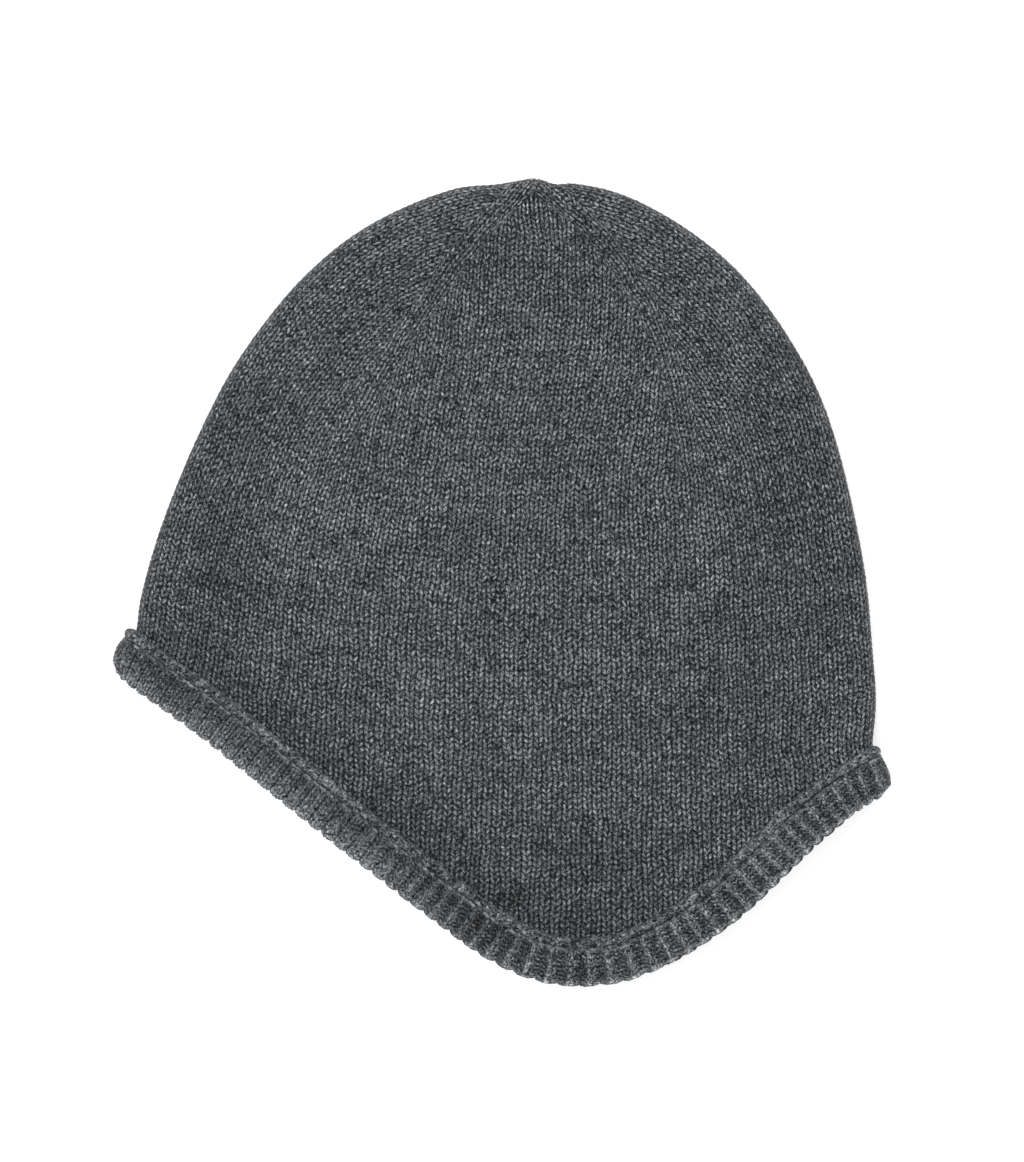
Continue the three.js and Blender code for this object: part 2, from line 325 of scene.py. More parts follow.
forehead_fold = plan_line(FOREHEAD_FOLD)
nape_fold = plan_line(NAPE_FOLD)
mouth_line = plan_line(MOUTH_LINE)
forehead_guide = plan_line(FOREHEAD_BELOW + FOREHEAD_FOLD)
nape_guide = plan_line(NAPE_BELOW + NAPE_FOLD)
forehead_shaping = plan_line(FOREHEAD_SHAPING)
nape_shaping = plan_line(NAPE_SHAPING)
outline = np.vstack([forehead_fold[:-1:2], nape_fold[::-2]])
mouth_run = mouth_line[::2]
crown_tip = forehead_fold[-1]
TIP_Y = PLAN_Y + CROWN_RISE
SHAPING_Y = PLAN_Y + SHAPING_START * CROWN_RISE
COURSE = (TIP_Y - SHAPING_Y) / SHAPED_COURSES


def across_at(guide, y):
    """Where a line of wales lies across the hat at a height in the plan."""
    rising = np.maximum.accumulate(guide[:, 1] + np.arange(len(guide)) * 1e-9)
    return np.interp(y, rising, guide[:, 0])


def fold_rise(distance):
    inset = 1 - np.clip(distance, 0, 1)
    return np.sqrt(1 - inset * inset)


def arch_shape(fold_distance):
    left = 1 - np.clip(fold_distance / ARCH_REACH, 0, 1)
    return 1 - left * left


def hollows(rows, x, y):
    """How deep places lie in the soft hollows of a table, from the table's own sinks."""
    deep = np.zeros(np.shape(x))
    for row in rows:
        sideways = ((x - PLAN_X) / CROWN_WIDTH - row["across"]) / row["wide"]
        upwards = ((y - PLAN_Y) / CROWN_RISE - row["up"]) / row["tall"]
        deep = deep + row.get("sink", 1.0) * np.exp(-sideways**2 - upwards**2)
    return deep


def crown_height(x, y, upper):
    """Height of the crown's outer side on the upper or the lower layer."""
    from_fold = distance_to(outline, x, y)
    from_mouth = distance_to(mouth_run, x, y)
    ease = smooth_step(from_mouth / MOUTH_EASE)
    radius = MOUTH_RADIUS + (FOLD_RADIUS - MOUTH_RADIUS) * ease
    centre = MOUTH_CENTRE + (FOLD_RADIUS - MOUTH_CENTRE) * ease
    rise = radius * fold_rise(from_fold / radius)
    arch = MOUTH_ARCH + (BODY_ARCH - MOUTH_ARCH) * smooth_step(from_mouth / MOUTH_ARCH_REACH)
    top = centre + rise + arch * arch_shape(from_fold)
    top = top - ease * DENT_SCALE * hollows(DENTS, x, y)
    return np.where(upper, top, centre - rise)


def fold_total(width):
    """Length of cloth over a width in plan that starts in the fold."""
    bend = FOLD_RADIUS * np.arccos(np.clip(1 - width / FOLD_RADIUS, -1, 1))
    return np.where(width < FOLD_RADIUS, bend, width + FOLD_RADIUS * (math.pi / 2 - 1))


def fold_plan(cloth):
    """Width in plan that a length of cloth from the fold takes."""
    bend = FOLD_RADIUS * (1 - np.cos(np.clip(cloth / FOLD_RADIUS, 0, math.pi / 2)))
    return np.where(cloth < FOLD_RADIUS * math.pi / 2, bend, cloth - FOLD_RADIUS * (math.pi / 2 - 1))


def course_middle(course):
    return SHAPING_Y + course * COURSE


def lift_over(course, lifts):
    return lifts[0] + (lifts[1] - lifts[0]) * np.clip(1 + course / LIFT_COURSES, 0, 1)


ALL_WALES = FOREHEAD_WALES + MIDDLE_WALES + NAPE_WALES
MIDDLE_WALE = 0.48 * ALL_WALES
FOREHEAD_END = (MIDDLE_WALE - FOREHEAD_WALES) / MIDDLE_WALE
NAPE_END = (FOREHEAD_WALES + MIDDLE_WALES - MIDDLE_WALE) / (ALL_WALES - MIDDLE_WALE)


def middle_width(y):
    return across_at(nape_shaping, y) - across_at(forehead_shaping, y)


def shaping_lift(course, side):
    """How much higher a course meets a line of decreases than it lies in the middle."""
    lifts, end, power = (
        (FOREHEAD_LIFT, FOREHEAD_END, LIFT_POWERS[0]),
        (NAPE_LIFT, NAPE_END, LIFT_POWERS[1]),
    )[side]
    narrow = middle_width(course_middle(course)) / middle_width(SHAPING_Y)
    return lift_over(course, lifts) * end**power * np.where(course > 0, narrow, 1)


def shaping_point(course, side):
    y = course_middle(course) + shaping_lift(course, side)
    guide = (forehead_shaping, nape_shaping)[side]
    return across_at(guide, y), y


def fold_point(course, side):
    lifts, guide, fold = (
        (FOREHEAD_LIFT, forehead_guide, forehead_fold),
        (NAPE_LIFT, nape_guide, nape_fold),
    )[side]
    start_y = SHAPING_Y + lifts[1]
    run = fold[fold[:, 1] >= start_y]
    run = np.vstack([[across_at(fold, start_y), start_y], run])
    shaped = along(run, course / SHAPED_COURSES)
    y = course_middle(course) + lift_over(course, lifts)
    plain_x = across_at(guide, y)
    return np.where(course > 0, shaped[..., 0], plain_x), np.where(course > 0, shaped[..., 1], y)


def middle_wales(course):
    """Wales left between the two lines of decreases."""
    narrow = middle_width(course_middle(course)) / middle_width(SHAPING_Y)
    return np.where(course > 0, MIDDLE_WALES * np.clip(narrow, 0, 1), MIDDLE_WALES)


def middle_plan(wale, course):
    """Plan of the panel between the lines of decreases, its wales counted from its own middle."""
    share = np.clip(wale / np.maximum(middle_wales(course), 1e-6) + 0.5, -0.1, 1.1)
    centre = (MIDDLE_WALE - FOREHEAD_WALES) / MIDDLE_WALES
    fore = np.clip((centre - share) / centre, 0, None)
    nape = np.clip((share - centre) / (1 - centre), 0, None)
    y = course_middle(course)
    y = y + shaping_lift(course, 0) * fore ** LIFT_POWERS[0]
    y = y + shaping_lift(course, 1) * nape ** LIFT_POWERS[1]
    left = across_at(forehead_shaping, y)
    return left + share * (across_at(nape_shaping, y) - left), y


def gore_wales(course, side):
    """Wales left between a fold and its line of decreases."""
    full = (FOREHEAD_WALES, NAPE_WALES)[side]
    widths = []
    for place in (course, np.zeros_like(course)):
        fold_x, fold_y = fold_point(place, side)
        line_x, line_y = shaping_point(place, side)
        widths.append(fold_total(np.hypot(line_x - fold_x, line_y - fold_y)))
    return np.where(course > 0, full * np.clip(widths[0] / widths[1], 0, 1), full)


def gore_plan(wale, course, side):
    """Plan of the panel that wraps round a fold, its wales counted from the fold."""
    count = np.maximum(gore_wales(course, side), 1e-6)
    share = np.minimum(np.abs(wale) / count, 1.1)
    fold_x, fold_y = fold_point(course, side)
    line_x, line_y = shaping_point(course, side)
    width = np.hypot(line_x - fold_x, line_y - fold_y)
    taken = fold_plan(share * fold_total(width)) / np.maximum(width, 1e-9)
    straight_x = fold_x + (line_x - fold_x) * taken
    straight_y = fold_y + (line_y - fold_y) * taken
    lifts, power, end, reach = (
        (FOREHEAD_LIFT, LIFT_POWERS[0], FOREHEAD_END, FOREHEAD_WALES / MIDDLE_WALE),
        (NAPE_LIFT, LIFT_POWERS[1], NAPE_END, NAPE_WALES / (ALL_WALES - MIDDLE_WALE)),
    )[side]
    y = course_middle(course) + lift_over(course, lifts) * (1 - share * (1 - end)) ** power
    outer = across_at((forehead_guide, nape_guide)[side], y)
    inner = across_at((forehead_shaping, nape_shaping)[side], y)
    inward = np.sign(inner - outer)
    curved_x = outer + inward * fold_plan(share * fold_total(np.abs(inner - outer)))
    bent = smooth_step(-course / BLEND_COURSES)
    return straight_x + (curved_x - straight_x) * bent, straight_y + (y - straight_y) * bent


WOBBLE = 0.22 * MM
WOBBLE_EDGE = 4 * MM
SLOW_WAVES = (310, 190, 270, 230)
SLOW_BENDS = (2.1, 1.7)
QUICK_WAVES = (720, 240, 640, 310)
QUICK_SHARE = 0.6
LOWER_TURN = 1.7


def settle(x, y, upper):
    """The small unevenness of knitting that lies as it fell."""
    turn = np.where(upper, 0.0, LOWER_TURN)
    push_x = np.sin(x * SLOW_WAVES[0] + SLOW_BENDS[0] * np.sin(y * SLOW_WAVES[1] + turn))
    push_y = np.sin(y * SLOW_WAVES[2] + SLOW_BENDS[1] * np.sin(x * SLOW_WAVES[3]) + turn)
    push_x = push_x + QUICK_SHARE * np.sin(y * QUICK_WAVES[0] + x * QUICK_WAVES[1])
    push_y = push_y + QUICK_SHARE * np.sin(x * QUICK_WAVES[2] - y * QUICK_WAVES[3])
    calm = smooth_step(distance_to(outline, x, y) / WOBBLE_EDGE)
    calm = calm * smooth_step(distance_to(mouth_run, x, y) / WOBBLE_EDGE)
    return x + WOBBLE * push_x * calm, y + WOBBLE * push_y * calm


def surface(plan, wale, course, layer):
    """Points of the crown's outer side; layer is 1 for the upper layer and -1 for the lower one."""
    x, y = plan(wale, course)
    upper = (layer if layer else np.sign(wale)) + np.zeros_like(x) >= 0
    x, y = settle(x, y, upper)
    return np.stack([x, y, crown_height(x, y, upper)], axis=-1)


def mouth_course(plan, wales):
    """The course at which each wale meets the mouth."""
    low = np.full(wales.shape, LOWEST_COURSE)
    high = np.full(wales.shape, 0.0)
    for _ in range(HALVINGS):
        middle = (low + high) / 2
        x, y = plan(wales, middle)
        inside = y > np.interp(x, mouth_line[:, 0], mouth_line[:, 1])
        high = np.where(inside, middle, high)
        low = np.where(inside, low, middle)
    return high


def knit_panel(name, plan, count, half_wales, layer, seed):
    """One panel of plain knit, as a net with a few quads in each stitch, and then given its wall."""
    steps = int(round(2 * half_wales * STEPS_PER_WALE))
    bpy.ops.object.select_all(action="DESELECT")
    wales = np.arange(steps + 1) / STEPS_PER_WALE - half_wales
    phase = np.arange(steps + 1) % STEPS_PER_WALE / STEPS_PER_WALE
    spread = np.abs(2 * phase - 1)
    ends = mouth_course(plan, wales) - MOUTH_TUCK
    first = math.floor(ends.min() - LEG_SLANT)
    last = SHAPED_COURSES - LEG_SLANT
    rows = np.arange(first * STEPS_PER_COURSE, int(last * STEPS_PER_COURSE) + 1) / STEPS_PER_COURSE
    rows[-1] = last
    bpy.ops.mesh.primitive_grid_add(x_subdivisions=steps, y_subdivisions=len(rows) - 1, size=1)
    panel = bpy.context.object
    panel.name = name

    wale, row = np.meshgrid(wales, rows)
    from_middle = np.abs(wale)
    limit = count(row + LEG_SLANT)
    inner_limit = np.clip(limit - seed["border"], 0, None)
    in_border = from_middle > half_wales - seed["border"] - 1e-6
    beside = count(row + LEG_SLANT * spread) - half_wales + from_middle
    past = np.where(in_border, beside < 0, from_middle > inner_limit + 1e-6)
    beside = np.clip(beside, 0, None)
    lean = np.where(past, 1.0, np.broadcast_to(spread, wale.shape))
    wale = np.sign(wale) * np.where(in_border, beside, np.minimum(from_middle, inner_limit))
    course = row + LEG_SLANT * lean
    below = course <= ends[None, :]
    course = np.where(below & ~past, ends[None, :], course)

    span = 0.02
    here = surface(plan, wale, course, layer)
    side = surface(plan, wale + span, course, layer) - surface(plan, wale - span, course, layer)
    rise = surface(plan, wale, np.minimum(course + span, SHAPED_COURSES), layer)
    rise = rise - surface(plan, wale, course - span, layer)
    normal = seed["turn"] * np.cross(side, rise)
    normal = normal / np.maximum(np.linalg.norm(normal, axis=-1, keepdims=True), 1e-12)

    in_course = row - np.floor(row + 1e-6)
    valley = GAP_DEPTHS[0] + (GAP_DEPTHS[1] - GAP_DEPTHS[0]) * lean
    ridge = valley + (1 - valley) * np.sin(np.pi * np.clip(lean, 0, 1)) ** RIDGE_POWER
    hump = np.where(in_course < 0.1, HUMPS[0], np.where(in_course < 0.5, HUMPS[1], HUMPS[2]))
    chance = np.random.default_rng(seed["draw"])
    uneven = chance.random((len(rows) // STEPS_PER_COURSE + 2, steps // 2 + 2))
    uneven = 1 + UNEVEN * (uneven - 0.5)
    stitch_row = (np.floor(row + 1e-6) - first).astype(int)
    leg = np.broadcast_to(np.arange(steps + 1) // 2, wale.shape)
    height = ridge * hump * uneven[stitch_row, leg]
    height = np.where(past, SEAM_HEIGHT, np.where(below, MOUTH_HEIGHT, height))
    x, y = here[..., 0], here[..., 1]
    calm = smooth_step(distance_to(outline, x, y) / CALM_REACH)
    raised = MEAN_HEIGHT + (height - MEAN_HEIGHT) * (EDGE_RELIEF + (1 - EDGE_RELIEF) * calm)
    # Painted shade in the crown's colour: darker beside the welt, between the gathered wales below the tip, in
    # the dents and in the soft shades; it goes to the lit attribute.
    from_mouth = distance_to(mouth_run, x, y)
    napewards = smooth_step(((x - PLAN_X) / CROWN_WIDTH - NAPE_FADE_START) / NAPE_FADE_REACH)
    by_welt = WELT_SHADE * (1 - NAPE_FADE * napewards)
    lit = 1 - by_welt * (1 - smooth_step(from_mouth / WELT_SHADE_REACH))
    lit = lit * (1 + hollows(GATHER, x, y) * (GATHER_SHADE[0] * ridge - GATHER_SHADE[1]))
    lit = lit * (1 - HOLLOW_SHADE * hollows(DENTS, x, y))
    lit = lit * (1 - hollows(SOFT_SHADES, x, y))
    point = here + normal * (raised * LEG_HEIGHT - LEG_SINK)[..., None]

    mesh = panel.data
    mesh.vertices.foreach_set("co", point.reshape(-1))
    # The relief attribute is the legs' height, which the finish also turns into painted shade between the
    # stitches.
    relief = mesh.attributes.new("relief", "FLOAT", "POINT")
    relief.data.foreach_set("value", height.reshape(-1).astype(np.float32))
    painted_light_and_shade = mesh.attributes.new("lit", "FLOAT", "POINT")
    painted_light_and_shade.data.foreach_set("value", lit.reshape(-1).astype(np.float32))
    for layer_map in list(mesh.uv_layers):
        mesh.uv_layers.remove(layer_map)
    chart = mesh.uv_layers.new(name="stitches")
    corner = np.zeros(len(mesh.loops), dtype=np.int32)
    mesh.loops.foreach_get("vertex_index", corner)
    chart_wale = np.broadcast_to(wales, row.shape) + CHART_START[0] + seed["draw"] * CHART_STEP
    wale_row = np.stack([chart_wale.reshape(-1), row.reshape(-1) + CHART_START[1]], axis=-1)
    chart.data.foreach_set("uv", wale_row[corner].reshape(-1))
    mesh.update()

    bpy.ops.object.mode_set(mode="EDIT")
    bpy.ops.mesh.select_all(action="SELECT")
    bpy.ops.mesh.remove_doubles(threshold=MERGE_REACH)
    bpy.ops.mesh.dissolve_degenerate(threshold=SLIVER_REACH)
    bpy.ops.mesh.delete_loose()
    if seed["turn"] < 0:
        bpy.ops.mesh.select_all(action="SELECT")
        bpy.ops.mesh.flip_normals()
    bpy.ops.object.mode_set(mode="OBJECT")
    reach = panel.vertex_groups.new(name="wall")
    reach.add(list(range(len(mesh.vertices))), 1.0, "REPLACE")
    for vertex in mesh.vertices:
        from_tip = math.hypot(vertex.co.x - crown_tip[0], vertex.co.y - crown_tip[1])
        if from_tip < TIP_REACH:
            reach.add([vertex.index], max(from_tip / TIP_REACH, 0.02) ** 2, "REPLACE")
    wall = panel.modifiers.new("wall", "SOLIDIFY")
    wall.thickness = WALL
    wall.offset = -1
    wall.vertex_group = "wall"
    panel.vertex_groups.new(name="inside")
    wall.shell_vertex_group = "inside"
    bpy.ops.object.modifier_apply(modifier="wall")
    plain_side = panel.modifiers.new("plain_side", "DECIMATE")
    plain_side.ratio = INSIDE_SHARE
    plain_side.vertex_group = "inside"
    bpy.ops.object.modifier_apply(modifier="plain_side")
    bpy.ops.object.shade_smooth()
    return panel


panels = (
    knit_panel(
        "crown_top_panel", middle_plan, lambda course: middle_wales(course) / 2, MIDDLE_WALES / 2, 1,
        dict(draw=1, turn=1, border=MIDDLE_BORDER),
    ),
    knit_panel(
        "crown_under_panel", middle_plan, lambda course: middle_wales(course) / 2, MIDDLE_WALES / 2, -1,
        dict(draw=2, turn=-1, border=MIDDLE_BORDER),
    ),
    knit_panel(
        "crown_forehead_gore", lambda wale, course: gore_plan(wale, course, 0),
        lambda course: gore_wales(course, 0), FOREHEAD_WALES, 0, dict(draw=3, turn=1, border=GORE_BORDER),
    ),
    knit_panel(
        "crown_nape_gore", lambda wale, course: gore_plan(wale, course, 1),
        lambda course: gore_wales(course, 1), NAPE_WALES, 0, dict(draw=4, turn=-1, border=GORE_BORDER),
    ),
)


class Wire:
    """A value on its way through a finish's nodes, with the signs of arithmetic."""

    def __init__(self, tree, socket=None):
        self.tree = tree
        self.socket = socket

    def node(self, kind, settings, sockets, out=0):
        made = self.tree.nodes.new(kind)
        for key, value in settings.items():
            setattr(made, key, value)
        for key, value in sockets.items():
            if isinstance(value, Wire):
                self.tree.links.new(value.socket, made.inputs[key])
            else:
                made.inputs[key].default_value = value
        return Wire(self.tree, made.outputs[out])

    def sum(self, operation, first, second=0.0):
        return self.node("ShaderNodeMath", {"operation": operation}, {0: first, 1: second})

    def __add__(self, other):
        return self.sum("ADD", self, other)

    __radd__ = __add__

    def __sub__(self, other):
        return self.sum("SUBTRACT", self, other)

    def __rsub__(self, other):
        return self.sum("SUBTRACT", other, self)

    def __mul__(self, other):
        return self.sum("MULTIPLY", self, other)

    __rmul__ = __mul__

    def __pow__(self, other):
        return self.sum("POWER", self, other)


# The yarn's own pattern: how fine its noises are, how much each one counts, and its faint cold tint.
PUSH_SCALE = 650.0
CLOUD_SCALE = 60.0
HAIR_SCALE = 1500.0
STREAK_SCALE = (0.11, 0.9)
STREAKS = 0.2
CLOUDS = 0.16
WOOL_LIGHT = 0.69
WOOL_POWER = 1.8
WOOL_TINT = (0.945, 1.0, 1.06, 1.0)
HAIR_BUMP = 0.12 * MM


def wool_finish(name, tone, legs, fibres, flecks, depth, gain, fine, stray):
    """Carded grey wool mix: dark and light fibres spun together, with painted shade down between the stitches.
    """
    wool = bpy.data.materials.new(name)
    wool.use_nodes = True
    tree = wool.node_tree
    shader = tree.nodes["Principled BSDF"]
    start = Wire(tree)
    chart = start.node("ShaderNodeUVMap", {"uv_map": "stitches"}, {})
    wale = start.node("ShaderNodeSeparateXYZ", {}, {0: chart})
    course = Wire(tree, wale.socket.node.outputs[1])
    relief = start.node("ShaderNodeAttribute", {"attribute_name": "relief"}, {}, out=2)
    lit = start.node("ShaderNodeAttribute", {"attribute_name": "lit"}, {}, out=2)
    spot = start.node("ShaderNodeTexCoord", {}, {}, out=3)

    push = start.node(
        "ShaderNodeTexNoise", {"noise_dimensions": "3D"},
        {"Vector": spot, "Scale": PUSH_SCALE, "Detail": 1.0}, out=1,
    )
    push_wale = start.node("ShaderNodeSeparateXYZ", {}, {0: push})
    push_course = Wire(tree, push_wale.socket.node.outputs[1])
    wale = wale + stray * (push_wale - 0.5)
    course = course + stray * (push_course - 0.5)
    leg = start.node(
        "ShaderNodeCombineXYZ", {},
        {0: start.sum("FLOOR", wale * 2), 1: start.sum("FLOOR", course), 2: 0.5},
    )
    leg_chance = start.node("ShaderNodeTexWhiteNoise", {"noise_dimensions": "3D"}, {"Vector": leg})
    along_leg = start.node(
        "ShaderNodeCombineXYZ", {}, {0: wale * fine[0], 1: course * fine[1], 2: leg_chance * 9},
    )
    fibre = start.node(
        "ShaderNodeTexNoise", {"noise_dimensions": "3D"},
        {"Vector": along_leg, "Scale": 1.0, "Detail": 2.0, "Roughness": 0.6},
    )
    along_course = start.node(
        "ShaderNodeCombineXYZ", {}, {0: wale * STREAK_SCALE[0], 1: course * STREAK_SCALE[1], 2: 0.0},
    )
    streak = start.node(
        "ShaderNodeTexNoise", {"noise_dimensions": "2D"},
        {"Vector": along_course, "Scale": 1.0, "Detail": 2.0, "Roughness": 0.6},
    )
    cloud = start.node(
        "ShaderNodeTexNoise", {"noise_dimensions": "3D"},
        {"Vector": spot, "Scale": CLOUD_SCALE, "Detail": 3.0, "Roughness": 0.6},
    )
    hair = start.node(
        "ShaderNodeTexNoise", {"noise_dimensions": "3D"},
        {"Vector": spot, "Scale": HAIR_SCALE, "Detail": 2.0, "Roughness": 0.6},
    )
    grey = tone + legs * (leg_chance - 0.5) + fibres * (fibre - 0.5) + flecks * (hair - 0.5)
    grey = grey + STREAKS * (streak - 0.5) + CLOUDS * (cloud - 0.5)
    # Painted shade: darker where the relief attribute is low, down between stitches and rows; the lit attribute
    # then multiplies in each piece's painted light and shade.
    shade = start.sum("MINIMUM", (1 - depth) + depth * gain * relief, 1.0)
    level = WOOL_LIGHT * start.sum("MAXIMUM", grey * shade * lit, 0.01) ** WOOL_POWER
    colour = start.node(
        "ShaderNodeMix", {"data_type": "RGBA"},
        {0: level, 6: (0.0, 0.0, 0.0, 1.0), 7: WOOL_TINT}, out=2,
    )
    tree.links.new(colour.socket, shader.inputs["Base Color"])
    bump = start.node(
        "ShaderNodeBump", {}, {"Strength": 0.5, "Distance": HAIR_BUMP, "Height": hair + fibre},
    )
    tree.links.new(bump.socket, shader.inputs["Normal"])
    shader.inputs["Roughness"].default_value = 0.95
    shader.inputs["Specular IOR Level"].default_value = 0.15
    shader.inputs["Sheen Weight"].default_value = 0.08
    shader.inputs["Sheen Roughness"].default_value = 0.5
    return wool


crown_wool = wool_finish(
    "crown_wool", tone=0.336, legs=0.1, fibres=1.25, flecks=1.2,
    depth=0.88, gain=1.9, fine=(4.2, 2.6), stray=0.25,
)
for panel in panels:
    panel.data.materials.append(crown_wool)
    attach(panel, "root")
    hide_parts("crown")


# The trim's line: the ring of places where the crown is linked to the welt and the welt to the ribs.
# It is not a piece; the welt, the chain of thread and the ribs below all follow it.
FOREHEAD_FLARE = 1.2 * MM
LEAN_REACH = 16 * MM
FOREHEAD_LEAN = math.radians(-25)
NAPE_LEAN = math.radians(20)
SEAM_GAP = 0.3 * MM
RING_DIVISIONS = 4096
PROBE = 1.5 * MM
RING_CHART_START = 300
RING_MERGE_REACH = 0.001 * MM

mouth_steps = np.linalg.norm(np.diff(mouth_line, axis=0), axis=1)
mouth_travel = np.concatenate([[0], np.cumsum(mouth_steps)])
mouth_length = mouth_travel[-1]


def ring_places(count):
    """Even places round the mouth: point, outward direction, normal, length along the layer, and layer."""
    start = HALF_WALL - FOREHEAD_FLARE
    end = mouth_length - HALF_WALL
    angle = np.linspace(0, 2 * math.pi, RING_DIVISIONS + 1)
    length = start + (end - start) * (1 - np.cos(angle)) / 2
    upper = angle <= math.pi
    inside = np.clip(length, 0, mouth_length)
    x = np.interp(inside, mouth_travel, mouth_line[:, 0])
    y = np.interp(inside, mouth_travel, mouth_line[:, 1])
    to_fold = np.minimum(length - start, end - length)
    rise = RING_RADIUS * fold_rise(to_fold / RING_RADIUS)
    arch = MOUTH_ARCH * arch_shape(distance_to(outline, x, y))
    z = np.where(upper, MOUTH_CENTRE + rise + arch, MOUTH_CENTRE - rise)
    dense = np.stack([x, y, z], axis=-1)
    travel = np.concatenate([[0], np.cumsum(np.linalg.norm(np.diff(dense, axis=0), axis=1))])
    target = travel[-1] * np.arange(count) / count
    point = np.stack([np.interp(target, travel, dense[:, axis]) for axis in range(3)], axis=-1)
    length = np.interp(target, travel, length)
    upper = np.interp(target, travel, angle) <= math.pi
    ahead = np.clip(length + PROBE, 0, mouth_length)
    behind = np.clip(length - PROBE, 0, mouth_length)
    run_x, run_y = (
        np.interp(ahead, mouth_travel, side) - np.interp(behind, mouth_travel, side) for side in mouth_line.T
    )
    lean = np.arctan2(run_y, run_x)
    lean = lean + (FOREHEAD_LEAN - lean) * (1 - smooth_step(length / LEAN_REACH))
    lean = lean + (NAPE_LEAN - lean) * (1 - smooth_step((mouth_length - length) / LEAN_REACH))
    out = np.stack([np.sin(lean), -np.cos(lean), np.zeros_like(lean)], axis=-1)
    run = np.roll(point, -3, axis=0) - np.roll(point, 3, axis=0)
    normal = np.cross(out, run)
    normal = normal / np.linalg.norm(normal, axis=-1, keepdims=True)
    return dict(point=point, out=out, normal=normal, length=length, upper=upper, total=travel[-1])


def ring_mesh(name, ring, forward, lift, relief, lit, chart_rows, wales):
    """A closed ring of sections; forward and lift hold each section's points, a row for each place."""
    places, size = forward.shape
    bpy.ops.object.select_all(action="DESELECT")
    bpy.ops.mesh.primitive_grid_add(x_subdivisions=size, y_subdivisions=places, size=1)
    piece = bpy.context.object
    piece.name = name
    point = (
        ring["point"][:, None, :]
        + ring["out"][:, None, :] * forward[..., None]
        + ring["normal"][:, None, :] * lift[..., None]
    )
    loop = np.arange(places + 1) % places
    turn = np.arange(size + 1) % size
    mesh = piece.data
    mesh.vertices.foreach_set("co", point[loop][:, turn].reshape(-1))
    for kind, values in (("relief", relief), ("lit", lit)):
        shade = mesh.attributes.new(kind, "FLOAT", "POINT")
        shade.data.foreach_set("value", values[loop][:, turn].reshape(-1).astype(np.float32))
    for old in list(mesh.uv_layers):
        mesh.uv_layers.remove(old)
    chart = mesh.uv_layers.new(name="stitches")
    corner = np.zeros(len(mesh.loops), dtype=np.int32)
    mesh.loops.foreach_get("vertex_index", corner)
    across, down = np.meshgrid(
        np.arange(places + 1) * wales / places, np.arange(size + 1) * chart_rows / size, indexing="ij",
    )
    rows = np.stack([across.reshape(-1), down.reshape(-1)], axis=-1) + RING_CHART_START
    chart.data.foreach_set("uv", rows[corner].reshape(-1))
    mesh.update()
    bpy.ops.object.mode_set(mode="EDIT")
    bpy.ops.mesh.select_all(action="SELECT")
    bpy.ops.mesh.remove_doubles(threshold=RING_MERGE_REACH)
    bpy.ops.mesh.normals_make_consistent(inside=False)
    bpy.ops.object.mode_set(mode="OBJECT")
    bpy.ops.object.shade_smooth()
    return piece


def half_section(rows, steps):
    """Forward and lift shares at even steps round a half section, smoothly through its table."""
    spots = np.array([(row["along"], row["half"]) for row in rows])
    travel = np.concatenate([[0], np.cumsum(np.linalg.norm(np.diff(spots * (1, 0.3), axis=0), axis=1))])
    dense = np.linspace(0, travel[-1], 400)
    forward = np.interp(dense, travel, spots[:, 0])
    half = np.interp(dense, travel, spots[:, 1])
    kernel = np.hanning(41)
    kernel = kernel / kernel.sum()
    padded_forward = np.concatenate([np.full(20, forward[0]), forward, 2 * forward[-1] - forward[-2:-22:-1]])
    padded_half = np.concatenate([2 * half[0] - half[20:0:-1], half, -half[-2:-22:-1]])
    forward = np.convolve(padded_forward, kernel, "valid")
    half = np.convolve(padded_half, kernel, "valid")
    pick = np.linspace(0, len(forward) - 1, steps).round().astype(int)
    return forward[pick], half[pick]


def grain(chance, shape, size):
    """Smooth unevenness round a ring, about size steps across, between -0.5 and 0.5."""
    kernel = np.hanning(2 * size + 3)[1:-1]
    field = chance.random(shape)
    for axis in (0, 1):
        spun = sum(weight * np.roll(field, step - size, axis) for step, weight in enumerate(kernel))
        field = spun / np.sqrt((kernel**2).sum())
    return np.clip((field - field.mean()) / (4 * field.std()), -0.5, 0.5)


# The welt: the rolled edge of the trim, where it is linked to the crown, a small round ridge of plain knit
# about three millimetres wide, with its stitches lying across it.
WELT_WIDTH = 3.3 * MM
WELT_THICKNESS = 5.8 * MM
WELT_WALES = 188
WELT_STEPS = 6
WELT_ROWS = 26
WELT_RELIEF = 0.3 * MM
WELT_TUCK = 0.2 * MM
WELT_FULLNESS = (0.85, 0.8)
WELT_SWELL = 0.16
WELT_LOOSE = 0.4
WELT_DRAWN_IN = 0.16
WELT_MEAN = 0.7

welt_ring = ring_places(WELT_WALES * WELT_STEPS)
turn = 2 * np.pi * np.arange(WELT_ROWS) / WELT_ROWS
welt_count = len(welt_ring["length"])
index = np.arange(welt_count)
wale_phase = index % WELT_STEPS / WELT_STEPS
spread = np.abs(2 * wale_phase - 1)[:, None]
row_phase = (np.arange(WELT_ROWS)[None, :] / 3 + spread * 0.6) % 1
chance = np.random.default_rng(11)
loops = grain(chance, (welt_count, WELT_ROWS), 2)
welt_relief = 0.5 + 0.22 * np.sin(np.pi * spread) * np.sin(np.pi * row_phase) + 0.7 * loops
lumps = grain(chance, (welt_count, WELT_ROWS), 9)
out_reach = (WELT_WIDTH + WELT_TUCK) / 2 * np.sign(np.cos(turn)) * np.abs(np.cos(turn)) ** WELT_FULLNESS[0]
up_reach = WELT_THICKNESS / 2 * np.sign(np.sin(turn)) * np.abs(np.sin(turn)) ** WELT_FULLNESS[1]
swell = 1 + WELT_SWELL * lumps
